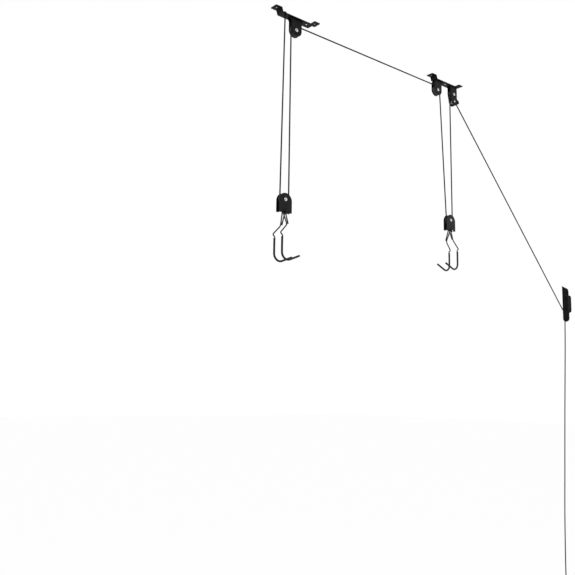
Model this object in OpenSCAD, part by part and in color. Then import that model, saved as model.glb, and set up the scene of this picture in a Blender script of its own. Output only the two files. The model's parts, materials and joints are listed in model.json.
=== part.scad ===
// Two-hook ceiling hoist for a bicycle, in millimetres.
// X runs along the ceiling from bracket A to bracket B and on to the wall cleat, Z is up.
// The origin is the centre of bracket A in the plane of the ceiling.

/* [Layout] */
// Distance between the centres of the two ceiling brackets
bracket_gap = 811; // [500:1:1400]
// Depth of hook block A's axle below the ceiling
block_a_drop = 664; // [500:1:900]
// Depth of hook block B's axle below the ceiling
block_b_drop = 593; // [500:1:900]
// Place of hook block A along the hoist, from bracket A
block_a_x = -38; // [-50:1:-30]
// Place of hook block B along the hoist, from bracket B
block_b_x = 15; // [0:1:25]
// Distance from bracket B's centre to the wall
wall_gap = 910; // [600:1:1400]
// Depth of the wall cleat's centre below the ceiling
cleat_drop = 857; // [600:1:1100]

/* [Bracket strip] */
// Length of a ceiling strip over its two tabs
strip_l = 200; // [196:1:240]
// Width of the strip
strip_w = 32; // [26:1:40]
// Thickness of the strip
strip_t = 2; // [1.5:0.1:2.5]
// Depth of the strip's underside below the ceiling
strip_drop = 17; // [16:0.5:18]
// Length of each tab that lies on the ceiling
tab_l = 27; // [20:1:29]
// How far each riser slopes inward
riser_run = 5; // [2:0.5:6]
// Radius of the strip's corners
strip_corner_r = 4; // [1:0.5:8]
// Diameter of the screw hole in each tab
screw_hole_d = 5.5; // [4:0.1:8]
// Diameter of the holes that a rope end is knotted through
tie_hole_d = 7; // [6:0.1:9]
// Distance of strip A's tie holes from its centre
tie_hole_x = 48; // [44:1:54]

/* [Pulley housings] */
// Inner width between the cheeks of every housing and hook block
cheek_gap = 13; // [12:0.1:15]
// Thickness of the cheeks
cheek_t = 1.8; // [1.5:0.1:2.2]
// Depth of the pulley axles of bracket A and of bracket B's left pulley
axle_drop = 57; // [56:0.5:60]
// Depth of the axle of bracket B's right pulley
lock_axle_drop = 48; // [47:0.5:50]
// Place of bracket A's axle from its centre
axle_a_x = -2; // [-4:0.5:4]
// Distance of bracket B's left axle from its centre
axle_b_left_x = 55; // [50:0.5:57]
// Distance of bracket B's right axle from its centre
axle_b_right_x = 48.5; // [45:0.5:52]
// Radius of the round lobe below a housing's axle
lobe_r = 22.5; // [21.5:0.1:24]
// Length of bracket A's housing web
web_a_l = 56; // [50:1:60]
// Length of the webs of bracket B's two housings
web_b_l = 42; // [38:1:44]
// Distance between the two rivets of a housing
rivet_pitch = 27; // [24:1:30]
// Diameter of the housing rivets
rivet_d = 4; // [3:0.1:5]

/* [Sheaves] */
// Outer diameter of every sheave
sheave_d = 41; // [40:0.1:42]
// Width of a sheave's rim
sheave_w = 11; // [9:0.1:11.5]
// Diameter of the sheave axles
axle_d = 8; // [6:0.1:9]
// Radial running clearance of a sheave on its axle
run_fit = 0.08; // [0.03:0.01:0.1]

/* [Rope] */
// Diameter of the rope
rope_d = 5; // [4:0.1:5]
// Depth of the rope's centre below the rim of a sheave
rope_seat = 1.8; // [1:0.1:2]
// Loops in the spare coil
coil_loops = 24; // [8:4:24]
// Radius of the coil's innermost loop
coil_inner_r = 12; // [12:0.5:16]

/* [Rope lock] */
// Diameter of the jam roller
roller_d = 20; // [18:0.5:20]
// Diameter of the pins at the ends of the jam roller
roller_pin_d = 6; // [5:0.1:6]
// Travel of the jam roller along its slots
roller_travel = 3.6; // [2:0.1:3.6]
// Angle at which the slots climb towards the rope
slot_angle = 10; // [6:1:12]
// Diameter of the pin that the rope bends round below the lock
guide_d = 7; // [6:0.1:8]

/* [Hook blocks] */
// Width of a block's cheeks
block_w = 54; // [52:1:60]
// Height of the cheeks above the block's axle
block_top = 22; // [21.5:0.1:25]
// Height of the cheeks below the block's axle
block_bottom = 44; // [42:0.5:50]
// Height of the arch between the feet of a cheek
foot_arch = 3; // [2:0.1:4]
// Diameter of the pin that carries the hooks
hook_pin_d = 5; // [4:0.1:6]

/* [Hooks] */
// Diameter of the hook wire
wire_d = 4.5; // [4:0.1:4.7]
// Outer diameter of the vinyl sleeve
sleeve_d = 7; // [6:0.1:8]
// Distance of a hook's vinyl part from the middle of its block
hook_spread = 20.5; // [16:0.5:26]
// Depth of the elbow below a hook's hinge
elbow_drop = 55; // [50:1:60]
// Depth of the top of the vinyl sleeve below a hook's hinge
sleeve_drop = 99; // [96:1:104]
// Length of the straight shank inside the sleeve
shank_l = 50; // [40:1:80]
// Radius of the hook's bend
bend_r = 24; // [18:0.5:30]
// Angle at which the hook's tip climbs
tip_angle = 23; // [10:1:35]
// Length of the straight tip
tip_l = 43; // [30:1:60]
// How far the shank stands behind the block's middle
shank_x = 22; // [18:0.5:26]

/* [Wall cleat] */
// Length of the cleat's horn bar
horn_l = 172; // [140:1:200]
// Width of the horn bar
horn_w = 31; // [26:0.5:31]
// Thickness of the horn bar
horn_t = 4; // [3:0.1:4]
// Gap between the wall flange and the horn bar
horn_gap = 24; // [24:0.5:30]
// Diameter of the cleat's two legs
leg_d = 14; // [12:0.5:14]
// Distance between the legs
leg_pitch = 52; // [51:1:52]
// Diameter of the screw holes through the legs
cleat_hole_d = 5.2; // [4:0.1:6]

/* [Hidden] */
$fn = 48;

// Colours
steel_black = [0.07, 0.07, 0.08];
zinc = [0.80, 0.81, 0.83];
nylon_black = [0.10, 0.10, 0.11];
rope_black = [0.13, 0.13, 0.14];
vinyl_black = [0.05, 0.05, 0.05];

// Clearances and the overrun of the cuts
overrun = 1;
pin_fit = 0.05;
side_fit = 0.3;
moving_gap = 0.3;
rope_gap = 0.2;

// Strip
fold_x = strip_l / 2 - tab_l;
riser_h = strip_drop - strip_t;
riser_slope = riser_run / riser_h;
riser_thick = strip_t * norm([riser_run, riser_h]) / riser_h;
screw_x = strip_l / 2 - tab_l / 2;
corner_steps = 6;

// Axles, heads and sheaves
rope_r = rope_d / 2;
sheave_r = sheave_d / 2;
wrap_r = sheave_r - rope_seat;
axle_r = axle_d / 2;
axle_head_share = 0.8;
axle_head_flat_share = 0.19;
axle_head_r = axle_d * axle_head_share;
axle_head_h = 2 * axle_head_r * axle_head_flat_share;
dimple_share = 0.28;
rivet_head_share = 0.9;
pin_head_share = 0.75;
hub_wall = 3.2;
rim_depth = 7.2;
dish = 2;
rim_lip = 1;
cheek_y = cheek_gap / 2;
cheek_out = cheek_y + cheek_t;

// Places of the axles, as x and height
axle_a = [axle_a_x, -axle_drop];
axle_b_left = [bracket_gap - axle_b_left_x, -axle_drop];
axle_b_right = [bracket_gap + axle_b_right_x, -lock_axle_drop];
block_a = [block_a_x, -block_a_drop];
block_b = [bracket_gap + block_b_x, -block_b_drop];
tie_a = [-tie_hole_x, -strip_drop];

// Housings
riser_room = 1.5;
web_reach = fold_x - riser_run - riser_room;
web_a_x = axle_a_x;
web_left_x = bracket_gap - web_reach + web_b_l / 2;
web_right_x = bracket_gap + web_reach - web_b_l / 2;
shoulder = 12;
lobe_steps = 32;

// Rope lock, measured from the axle of bracket B's right pulley
roller_r = roller_d / 2;
roller_gap = 0.5;
roller_x = 2;
roller_at = [roller_x, -sheave_r - roller_r - roller_gap];
roller_pin_r = roller_pin_d / 2;
roller_head_r = roller_pin_d * pin_head_share;
roller_head_h = 1.6;
roller_flute_share = 0.94;
roller_flutes = 20;
guide_r = guide_d / 2;
guide_wrap_r = guide_r + rope_r + rope_gap;
guide_rise = 2;
guide_at = [wrap_r + guide_wrap_r, roller_at[1] + guide_rise];
tongue_wall = 7.5;
tongue_r = roller_r + tongue_wall;
nose_wall = 4.2;
nose_r = guide_r + nose_wall;
lock_edge_in = 0.4;
lock_edge = wrap_r - lock_edge_in;
nose_turn = 52;
lock_window_d = 4.2;
window_wall = 3.1;
lock_window_r = roller_pin_r + window_wall + lock_window_d / 2;
lock_window_angles = [85, 160, 225, 290];

// Hook pin and hooks, measured from a block's axle
block_r = block_w / 2;
hook_pin_r = hook_pin_d / 2;
wire_r = wire_d / 2;
sleeve_r = sleeve_d / 2;
pin_land = 2.2;
eye_gap = 0.5;
eye_side_gap = 0.35;
hook_pin_z = -block_bottom + foot_arch + pin_land + hook_pin_r;
eye_r = hook_pin_r + wire_r + eye_gap;
hinge_z = hook_pin_z + eye_r;
eye_y = wire_r + eye_side_gap;
eye_leg_room = 4;
eye_leg_z = -block_bottom + foot_arch - eye_leg_room;
foot_w = 10;
foot_flange = 3.2;
elbow_y_share = 0.83;
jog_x_share = 1.36;
jog_y_share = 0.975;
jog_z_share = 0.88;
kink_x_share = 0.91;
kink_z_share = 0.95;
sleeve_wall_end = 2;
eye_pitch = wire_d + eye_gap;
eye_end_back = 3;
eye_end_side = 0.75;
wire_bend = 7;
wire_steps = 4;
wire_sides = 12;
sharp_turn = 24;
ease_share = 0.45;
bend_steps = 8;
sleeve_sides = 16;
sleeve_cap_angles = [28, 54, 76];

// Wall cleat
wall_x = bracket_gap + wall_gap;
leg_r = leg_d / 2;
flange_t = 3;
flange_w = 24;
flange_end = 16;
horn_front = wall_x - flange_t - horn_gap - horn_t;
horn_tip_share = 0.12;
horn_shoulder_share = 0.045;
horn_corner_share = 0.16;
horn_slope_share = 0.2;
countersink_d = 10;
countersink_h = 2.6;

// Rope round the cleat's legs: x from the wall, y, and height from the cleat's centre.
cleat_route = [
    [-34, 18.4, -20], [-30, 18.5, -24.2], [-25, 18.2, -28.6], [-20, 16.4, -32], [-16, 12.4, -34.6],
    [-13.5, 7, -35.8], [-12, 0, -35.8], [-11.5, -6.9, -33], [-11, -9.8, -26], [-11, -9.8, -10],
    [-11.5, -9.8, 10], [-12, -9.8, 26], [-12.5, -6.9, 33], [-13, 0, 35.8], [-13.8, 6.9, 33],
    [-15, 9.8, 26], [-16.5, 9.8, 8], [-19, 10, -10], [-21.5, 10.3, -26], [-23, 10.5, -42], [-23, 10.5, -60]
];
cleat_steps = 3;
// The tail below the cleat, measured in the same way
tail_route = [
    [-23, 10.5, -60], [-23, 11, -90], [-24, 14, -200], [-26, 19, -340], [-28, 25, -500], [-29, 31, -660],
    [-30, 36, -800], [-32, 41, -950], [-33, 44, -1080], [-33, 46, -1190], [-33, 46.5, -1260],
    [-33, 46.5, -1288]
];
tail_steps = 5;
rope_sides = 8;
held_sides = 12;
wrap_steps = 10;

// Spare coil: four layers, wound in and out again.
coil_layers = 4;
coil_turns = coil_loops / coil_layers;
coil_gap = 0.7;
coil_pitch = rope_d + coil_gap;
coil_climb = 0.25;
coil_rings = 24;
coil_sides = 6;
coil_outer_r = coil_inner_r + coil_pitch * coil_turns;
coil_start = [wall_x, 0, -cleat_drop] + tail_route[len(tail_route) - 1];
coil_centre = coil_start - [0, coil_outer_r, rope_d];
tie_w = 8;
tie_t = 1.6;
tie_gap = 0.4;

// Directions and tangents in the plane of the pulleys
function unit(v) = v / norm(v);
function angle_of(v) = atan2(v[1], v[0]);
function polar(r, a) = [r * cos(a), r * sin(a)];
function arc(c, r, a, b, n) = [for (i = [0 : n]) c + polar(r, a + (b - a) * i / n)];
// Angle of the unit vector n with (b - a) * n = gap, on the upper or right side of the line from a to b
function side_angle(a, b, gap) = angle_of(b - a) + acos(gap / norm(b - a));
// Ends of a straight rope between circles a and b. Each signed radius is positive on the side of n.
function line_ends(a, sa, b, sb) =
    let (n = polar(1, side_angle(a, b, sa - sb)))
    [a + sa * n, b + sb * n];

tied_turn = side_angle(tie_a, block_a, wrap_r);
free_turn = side_angle(axle_a, block_a, -2 * wrap_r);
left_turn = side_angle(axle_b_left, block_b, 2 * wrap_r);
right_turn = side_angle(axle_b_right, block_b, -2 * wrap_r);
tied_ends = line_ends(tie_a, 0, block_a, -wrap_r);
free_ends = line_ends(axle_a, -wrap_r, block_a, wrap_r);
left_ends = line_ends(axle_b_left, wrap_r, block_b, -wrap_r);
right_ends = line_ends(axle_b_right, -wrap_r, block_b, wrap_r);

// The rope from the lock to the cleat
lead_end = [wall_x, 0, -cleat_drop] + cleat_route[0];
guide_centre = axle_b_right + guide_at;
roller_centre = axle_b_right + roller_at;
lead_flat = [lead_end[0], lead_end[2]];
lead_turn = side_angle(guide_centre, lead_flat, -guide_wrap_r);

// A drawing in the x-y plane stood upright in the x-z plane, centred on y = 0.
module upright(width) {
    translate([0, width / 2, 0])
        rotate([90, 0, 0])
            linear_extrude(width)
                children();
}

// A body of revolution about z laid on an axle along y.
module on_axle(at) {
    translate([at[0], 0, at[1]])
        rotate([90, 0, 0])
            children();
}

// A hole or bar through both cheeks.
module through_cheeks(at, r, out) {
    on_axle(at)
        translate([0, 0, -cheek_out - out])
            cylinder(h = 2 * (cheek_out + out), r = r);
}

// A straight round bar from p to q.
module bar(p, q, d) {
    v = q - p;
    translate(p)
        rotate([0, acos(v[2] / norm(v)), atan2(v[1], v[0])])
            cylinder(h = norm(v), d = d);
}

// Rope bent round a centre in the x-z plane, from angle a to angle b.
module rope_arc(at, r, a, b) {
    on_axle(at)
        rotate([0, 0, a])
            rotate_extrude(angle = b - a, $fn = 96)
                translate([r, 0])
                    circle(d = rope_d);
}

// Straight rope in the x-z plane.
module rope_line(p, q) {
    bar([p[0], 0, p[1]], [q[0], 0, q[1]], rope_d);
}

// A fall from bracket to block. It stops just short of the rope on the block.
module fall(ends) {
    rope_line(ends[0], ends[1] - moving_gap * unit(ends[1] - ends[0]));
}

// Frames carried along a path, and a tube swept through them with flat ends
function tangent_at(p, i) =
    i == 0 ? unit(p[1] - p[0])
    : i == len(p) - 1 ? unit(p[i] - p[i - 1])
    : unit(unit(p[i] - p[i - 1]) + unit(p[i + 1] - p[i]));
function across(t, v) = unit(v - t * (v * t));
function ring(c, t, u, r, n) =
    let (w = cross(t, u))
    [for (k = [0 : n - 1]) c + r * (cos(360 * k / n) * u + sin(360 * k / n) * w)];
function rings(points, r, n, side) =
    let (m = len(points))
    let (sides = [
        for (i = 0, u = across(tangent_at(points, 0), side);
            i < m;
            i = i + 1, u = i < m ? across(tangent_at(points, i), u) : u)
            u
    ])
    [for (i = [0 : m - 1]) ring(points[i], tangent_at(points, i), sides[i], r, n)];
module skin(loops) {
    m = len(loops);
    n = len(loops[0]);
    verts = [for (loop = loops) each loop];
    faces = concat(
        [for (i = [0 : m - 2], k = [0 : n - 1]) [i * n + k, (i + 1) * n + k, i * n + (k + 1) % n]],
        [for (i = [0 : m - 2], k = [0 : n - 1])
            [i * n + (k + 1) % n, (i + 1) * n + k, (i + 1) * n + (k + 1) % n]],
        [for (k = [1 : n - 2]) [0, k, k + 1]],
        [for (k = [1 : n - 2]) [(m - 1) * n, (m - 1) * n + k + 1, (m - 1) * n + k]]
    );
    polyhedron(points = verts, faces = faces);
}
module tube(points, r, n, side) {
    skin(rings(points, r, n, side));
}

// Points of a smooth curve through a route's points, with n steps from each to the next
function between(a, b, c, d, t) =
    (2 * b + (c - a) * t + (2 * a - 5 * b + 4 * c - d) * t * t + (3 * b - a - 3 * c + d) * t * t * t) / 2;
function smooth(p, n) = [
    for (i = [0 : len(p) - 2], s = [0 : n - 1])
        between(p[max(i - 1, 0)], p[i], p[i + 1], p[min(i + 2, len(p) - 1)], s / n),
    p[len(p) - 1]
];

// A route with each sharp corner eased over a length e on both sides of it, in n steps
function corner_turn(p, i) = acos(min(1, unit(p[i] - p[i - 1]) * unit(p[i + 1] - p[i])));
function eased(p, e, n) = [
    p[0],
    for (i = [1 : len(p) - 2])
        each corner_turn(p, i) < sharp_turn ? [p[i]]
        : let (
            a = p[i] + min(e, norm(p[i - 1] - p[i]) * ease_share) * unit(p[i - 1] - p[i]),
            b = p[i] + min(e, norm(p[i + 1] - p[i]) * ease_share) * unit(p[i + 1] - p[i])
        )
        [for (k = [0 : n]) let (t = k / n) (1 - t) * (1 - t) * a + 2 * t * (1 - t) * p[i] + t * t * b],
    p[len(p) - 1]
];

// Head of a pin or rivet: a low disc with a sloped edge.
module pin_head(r, h) {
    rotate_extrude()
        polygon([[0, 0], [r, 0], [r, h / 2], [r - h / 2, h], [0, h]]);
}

// Domed head with a small pit in its middle.
module dome_head(r, h) {
    pit = r * dimple_share;
    rotate_extrude($fn = 64)
        polygon(concat(
            [[0, 0]],
            [for (a = [0 : 10 : 70]) [r * cos(a), h * sin(a)]],
            [[pit, h * sin(70)], [pit / 2, h / 2], [0, h / 2]]
        ));
}

// Ceiling strip: two tabs on the ceiling, sloped risers and a lower middle.
module strip_blank(holes) {
    half = strip_l / 2;
    foot = fold_x + riser_thick;
    corner = [half - strip_corner_r, strip_w / 2 - strip_corner_r];
    difference() {
        intersection() {
            upright(strip_w)
                polygon([
                    [-half, 0], [-fold_x, 0], [-fold_x + riser_run, -riser_h], [fold_x - riser_run, -riser_h],
                    [fold_x, 0], [half, 0], [half, -strip_t], [foot - riser_slope * strip_t, -strip_t],
                    [foot - riser_slope * strip_drop, -strip_drop],
                    [-foot + riser_slope * strip_drop, -strip_drop],
                    [-foot + riser_slope * strip_t, -strip_t], [-half, -strip_t]
                ]);
            translate([0, 0, -strip_drop - overrun])
                linear_extrude(strip_drop + 2 * overrun)
                    polygon(concat(
                        arc([corner[0], corner[1]], strip_corner_r, 0, 90, corner_steps),
                        arc([-corner[0], corner[1]], strip_corner_r, 90, 180, corner_steps),
                        arc([-corner[0], -corner[1]], strip_corner_r, 180, 270, corner_steps),
                        arc([corner[0], -corner[1]], strip_corner_r, 270, 360, corner_steps)
                    ));
        }
        for (s = [-1, 1])
            translate([s * screw_x, 0, -strip_t - overrun])
                cylinder(h = strip_t + 2 * overrun, d = screw_hole_d);
        for (x = holes)
            translate([x, 0, -strip_drop - overrun])
                cylinder(h = strip_t + 2 * overrun, d = tie_hole_d);
    }
}

// Rivet holes of one housing, through its web and the strip.
module rivet_holes(x) {
    for (s = [-1, 1])
        translate([x + s * rivet_pitch / 2, 0, -strip_drop - cheek_t - overrun])
            cylinder(h = cheek_t + strip_t + 2 * overrun, d = rivet_d + 2 * pin_fit);
}

// Rivets that hold one housing to the strip.
module housing_rivets(x) {
    head = rivet_d * rivet_head_share;
    for (s = [-1, 1])
        translate([x + s * rivet_pitch / 2, 0, -strip_drop - cheek_t]) {
            cylinder(h = cheek_t + strip_t, d = rivet_d);
            mirror([0, 0, 1])
                pin_head(head, head / 2);
            translate([0, 0, cheek_t + strip_t])
                pin_head(head, head / 2);
        }
}

// Folded housing: a web under the strip and two cheeks, whose outline is passed in.
module housing(x, l) {
    translate([x - l / 2, -cheek_out, -strip_drop - cheek_t])
        cube([l, 2 * cheek_out, cheek_t]);
    for (s = [-1, 1])
        translate([0, s * (cheek_y + cheek_t / 2), 0])
            upright(cheek_t)
                children();
}

// Outline of a plain cheek: round below the axle and spread to the web.
module lobe_outline(at, x, l) {
    polygon(concat(
        [[x - l / 2, -strip_drop], [at[0] - lobe_r, -strip_drop - shoulder]],
        arc(at, lobe_r, 180, 360, lobe_steps),
        [[at[0] + lobe_r, -strip_drop - shoulder], [x + l / 2, -strip_drop]]
    ));
}

// Outline of the cheeks that also carry the rope lock.
module lock_outline(at, x, l) {
    roller = at + roller_at;
    nose = at + guide_at;
    left = 360 + angle_of(roller - at) - acos((lobe_r - tongue_r) / norm(roller - at));
    low = 360 + angle_of(nose - roller) - acos((tongue_r - nose_r) / norm(nose - roller));
    polygon(concat(
        [[x - l / 2, -strip_drop], [at[0] - lobe_r, -strip_drop - shoulder]],
        arc(at, lobe_r, 180, left, lobe_steps / 4),
        arc(roller, tongue_r, left, low, lobe_steps),
        arc(nose, nose_r, low, 360 + nose_turn, lobe_steps / 2),
        [[at[0] + lock_edge, nose[1] + nose_r + rope_d], [at[0] + lock_edge, -strip_drop - shoulder]],
        [[x + l / 2, -strip_drop]]
    ));
}

// Slot for the jam roller's pin.
module roller_slot(at) {
    r = roller_pin_r + side_fit;
    p = at + roller_at;
    q = p + polar(roller_travel, slot_angle);
    upright(2 * (cheek_out + overrun))
        polygon(concat(
            arc(p, r, slot_angle + 90, slot_angle + 270, lobe_steps / 2),
            arc(q, r, slot_angle - 90, slot_angle + 90, lobe_steps / 2)
        ));
}

// Axle between the cheeks, riveted over into shiny domed heads.
module axle(at) {
    on_axle(at)
        union() {
            translate([0, 0, -cheek_out])
                cylinder(h = 2 * cheek_out, r = axle_r);
            for (s = [0, 1])
                mirror([0, 0, s])
                    translate([0, 0, cheek_out])
                        dome_head(axle_head_r, axle_head_h);
        }
}

// Plain pin along y, riveted over outside both cheeks.
module cheek_pin(at, r) {
    head = 2 * r * pin_head_share;
    on_axle(at)
        union() {
            translate([0, 0, -cheek_out])
                cylinder(h = 2 * cheek_out, r = r);
            for (s = [0, 1])
                mirror([0, 0, s])
                    translate([0, 0, cheek_out])
                        pin_head(head, head / 2);
        }
}

// Grooved sheave with hub bosses and a running bore.
module sheave(at) {
    bore_r = axle_r + run_fit;
    hub_r = axle_r + hub_wall;
    hub_h = cheek_y - side_fit;
    rim_h = sheave_w / 2;
    rim_r = sheave_r - rim_depth;
    web_h = rim_h - dish;
    on_axle(at)
        rotate_extrude($fn = 96)
            polygon(concat(
                [[bore_r, -hub_h], [hub_r, -hub_h], [hub_r, -web_h], [rim_r, -web_h], [rim_r, -rim_h]],
                [[sheave_r, -rim_h], [sheave_r, rim_lip - rim_h]],
                arc([wrap_r, 0], rope_r + rope_gap, 260, 100, lobe_steps / 2),
                [[sheave_r, rim_h - rim_lip], [sheave_r, rim_h], [rim_r, rim_h], [rim_r, web_h]],
                [[hub_r, web_h], [hub_r, hub_h], [bore_r, hub_h]]
            ));
}

// One cheek of a hook block: arched top, two feet, and small flanges turned inward at the feet.
module block_cheek(at, side) {
    half = block_r;
    arch_z = block_top - block_r;
    difference() {
        union() {
            translate([at[0], side * (cheek_y + cheek_t / 2), at[1]])
                upright(cheek_t)
                    polygon(concat(
                        arc([0, arch_z], block_r, 0, 180, lobe_steps),
                        [[-half, -block_bottom], [foot_w - half, -block_bottom]],
                        [[foot_w + foot_arch - half, foot_arch - block_bottom]],
                        [[half - foot_w - foot_arch, foot_arch - block_bottom]],
                        [[half - foot_w, -block_bottom], [half, -block_bottom]]
                    ));
            for (s = [-1, 1])
                translate([at[0] + s * (half - foot_w / 2), side * (cheek_y - foot_flange / 2), at[1]])
                    translate([-foot_w / 2, -foot_flange / 2, -block_bottom])
                        cube([foot_w, foot_flange, cheek_t]);
        }
        through_cheeks(at, axle_r + pin_fit, overrun);
        through_cheeks(at + [0, hook_pin_z], hook_pin_r + pin_fit, overrun);
    }
}

// Places along a hook, for a tip toward +X on the +Y side, from the block's axle
shank_top = [-shank_x, hook_spread, hinge_z - sleeve_drop];
shank_end = shank_top - [0, 0, shank_l];
bend_centre = shank_end + [bend_r, 0, 0];
bend_end = bend_centre + [bend_r * sin(tip_angle), 0, -bend_r * cos(tip_angle)];
tip_dir = [cos(tip_angle), 0, sin(tip_angle)];
tip_end = bend_end + tip_l * tip_dir;
elbow = [0, hook_spread * elbow_y_share, hinge_z - elbow_drop];
jog = [-shank_x * jog_x_share, hook_spread * jog_y_share, hinge_z - sleeve_drop * jog_z_share];
kink = [-shank_x * kink_x_share, hook_spread, hinge_z - sleeve_drop * kink_z_share];

// Straight shank, bend and tip of a hook, up to a given end
function shank_route(last) = concat(
    [shank_top],
    [for (i = [0 : bend_steps])
        let (a = i * (90 + tip_angle) / bend_steps)
        bend_centre - bend_r * [cos(a), 0, sin(a)]],
    [last]
);

// Mirrors a hook for its side and direction, and sets it at its block's axle.
module on_block(at, sx, sy) {
    translate([at[0], 0, at[1]])
        mirror([sx < 0 ? 1 : 0, 0, 0])
            mirror([0, sy < 0 ? 1 : 0, 0])
                children();
}

// Hook wire in one piece: its end beside the elbow, closed eye round the pin, elbow, jog, shank, bend, tip.
module hook_wire(at, sx, sy) {
    route = concat(
        [elbow + [eye_pitch, -eye_end_side, eye_end_back], [eye_r, eye_y, eye_leg_z]],
        [for (a = [0 : 20 : 180]) [eye_r * cos(a), eye_y, hook_pin_z + eye_r * sin(a)]],
        [[-eye_r, eye_y, eye_leg_z], elbow, jog, kink],
        shank_route(tip_end - sleeve_wall_end * tip_dir)
    );
    on_block(at, sx, sy)
        tube(eased(route, wire_bend, wire_steps), wire_r, wire_sides, [0, 1, 0]);
}

// Vinyl sleeve in one skin: up its bore, over the mouth, and down the outside to a round closed end.
module hook_sleeve(at, sx, sy) {
    bore_end = tip_end - (sleeve_wall_end - pin_fit) * tip_dir;
    bore = rings(shank_route(bore_end), wire_r + pin_fit, sleeve_sides, [0, 1, 0]);
    cap = [
        for (a = sleeve_cap_angles)
            ring(tip_end + sleeve_r * sin(a) * tip_dir, tip_dir, [0, 1, 0], sleeve_r * cos(a), sleeve_sides)
    ];
    on_block(at, sx, sy)
        skin(concat(
            [for (i = [len(bore) - 1 : -1 : 0]) bore[i]],
            rings(shank_route(tip_end), sleeve_r, sleeve_sides, [0, 1, 0]),
            cap
        ));
}

// Bracket A
module bracket_a_strip() {
    color(steel_black)
        difference() {
            strip_blank([-tie_hole_x, tie_hole_x]);
            rivet_holes(web_a_x);
        }
}

module bracket_a_housing() {
    color(steel_black)
        difference() {
            housing(web_a_x, web_a_l)
                lobe_outline(axle_a, web_a_x, web_a_l);
            rivet_holes(web_a_x);
            through_cheeks(axle_a, axle_r + pin_fit, overrun);
        }
}

module bracket_a_rivets() {
    color(steel_black)
        housing_rivets(web_a_x);
}

module bracket_a_axle() {
    color(zinc)
        axle(axle_a);
}

module bracket_a_sheave() {
    color(nylon_black)
        sheave(axle_a);
}

// Bracket B
module bracket_b_strip() {
    color(steel_black)
        difference() {
            translate([bracket_gap, 0, 0])
                strip_blank([0]);
            rivet_holes(web_left_x);
            rivet_holes(web_right_x);
        }
}

module bracket_b_left_housing() {
    color(steel_black)
        difference() {
            housing(web_left_x, web_b_l)
                lobe_outline(axle_b_left, web_left_x, web_b_l);
            rivet_holes(web_left_x);
            through_cheeks(axle_b_left, axle_r + pin_fit, overrun);
        }
}

module bracket_b_lock_housing() {
    color(steel_black)
        difference() {
            housing(web_right_x, web_b_l)
                lock_outline(axle_b_right, web_right_x, web_b_l);
            rivet_holes(web_right_x);
            through_cheeks(axle_b_right, axle_r + pin_fit, overrun);
            through_cheeks(guide_centre, guide_r + pin_fit, overrun);
            roller_slot(axle_b_right);
            for (a = lock_window_angles)
                through_cheeks(roller_centre + polar(lock_window_r, a), lock_window_d / 2, overrun);
        }
}

module bracket_b_rivets() {
    color(steel_black) {
        housing_rivets(web_left_x);
        housing_rivets(web_right_x);
    }
}

module bracket_b_left_axle() {
    color(zinc)
        axle(axle_b_left);
}

module bracket_b_right_axle() {
    color(zinc)
        axle(axle_b_right);
}

module bracket_b_left_sheave() {
    color(nylon_black)
        sheave(axle_b_left);
}

module bracket_b_right_sheave() {
    color(nylon_black)
        sheave(axle_b_right);
}

// Jam roller with a pin at each end, shown away from the rope.
module lock_roller() {
    half = cheek_y - side_fit;
    reach = cheek_out + side_fit;
    color(zinc)
        on_axle(axle_b_right + roller_at)
            union() {
                translate([0, 0, -half])
                    cylinder(h = 2 * half, r = roller_r);
                translate([0, 0, -reach])
                    cylinder(h = 2 * reach, r = roller_pin_r);
                for (s = [0, 1])
                    mirror([0, 0, s])
                        translate([0, 0, reach])
                            pin_head(roller_head_r, roller_head_h);
            }
}

module lock_guide_pin() {
    color(steel_black)
        cheek_pin(guide_centre, guide_r);
}

// Rope held by the brackets, in order from its tied end.
module rope_end_knot() {
    turn_r = rope_r + rope_gap;
    knot_rise = rope_d - rope_gap;
    top = -strip_drop + strip_t;
    color(rope_black)
        union() {
            translate([tie_a[0], 0, -strip_drop])
                cylinder(h = strip_t + rope_d * 2, d = rope_d);
            for (k = [0, 1])
                translate([tie_a[0], 0, top + rope_r + knot_rise * k])
                    rotate([k * 16, k * 8, 0])
                        rotate_extrude()
                            translate([turn_r, 0])
                                circle(d = rope_d);
            bar([tie_a[0], 0, top + rope_d], [tie_a[0] - rope_d, -strip_w / 2, top + rope_d], rope_d);
        }
}

module rope_run() {
    path = concat(
        arc(axle_a, wrap_r, 180 + free_turn, 90, wrap_steps),
        arc(axle_b_left, wrap_r, 90, left_turn, wrap_steps)
    );
    color(rope_black)
        tube([for (p = path) [p[0], 0, p[1]]], rope_r, held_sides, [0, 1, 0]);
}

module rope_lead() {
    path = concat(
        arc(axle_b_right, wrap_r, 180 + right_turn, 0, 2 * wrap_steps),
        arc(guide_centre, guide_wrap_r, 180, 180 + lead_turn, wrap_steps / 2)
    );
    color(rope_black)
        tube(concat([for (p = path) [p[0], 0, p[1]]], [lead_end]), rope_r, held_sides, [0, 1, 0]);
}

module rope_cleat_turn() {
    color(rope_black)
        translate([wall_x, 0, -cleat_drop])
            tube(smooth(cleat_route, cleat_steps), rope_r, rope_sides, [0, 1, 0]);
}

module rope_tail() {
    color(rope_black)
        translate([wall_x, 0, -cleat_drop])
            tube(smooth(tail_route, tail_steps), rope_r, rope_sides, [0, 1, 0]);
}

// Radius and layer of the coil after t turns. It climbs a layer round each turning point.
function coil_r(t) =
    let (half = t % (2 * coil_turns))
    coil_inner_r + coil_pitch * abs(coil_turns - half);
function coil_layer(t) =
    let (steps = [for (k = [1 : coil_layers - 1]) (t - k * coil_turns + coil_climb) / (2 * coil_climb)])
    [for (s = steps) min(max(s, 0), 1)] * [for (s = steps) 1];
function coil_point(t) =
    coil_centre + [coil_pitch * coil_layer(t), coil_r(t) * cos(-360 * t), coil_r(t) * sin(-360 * t)];

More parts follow.
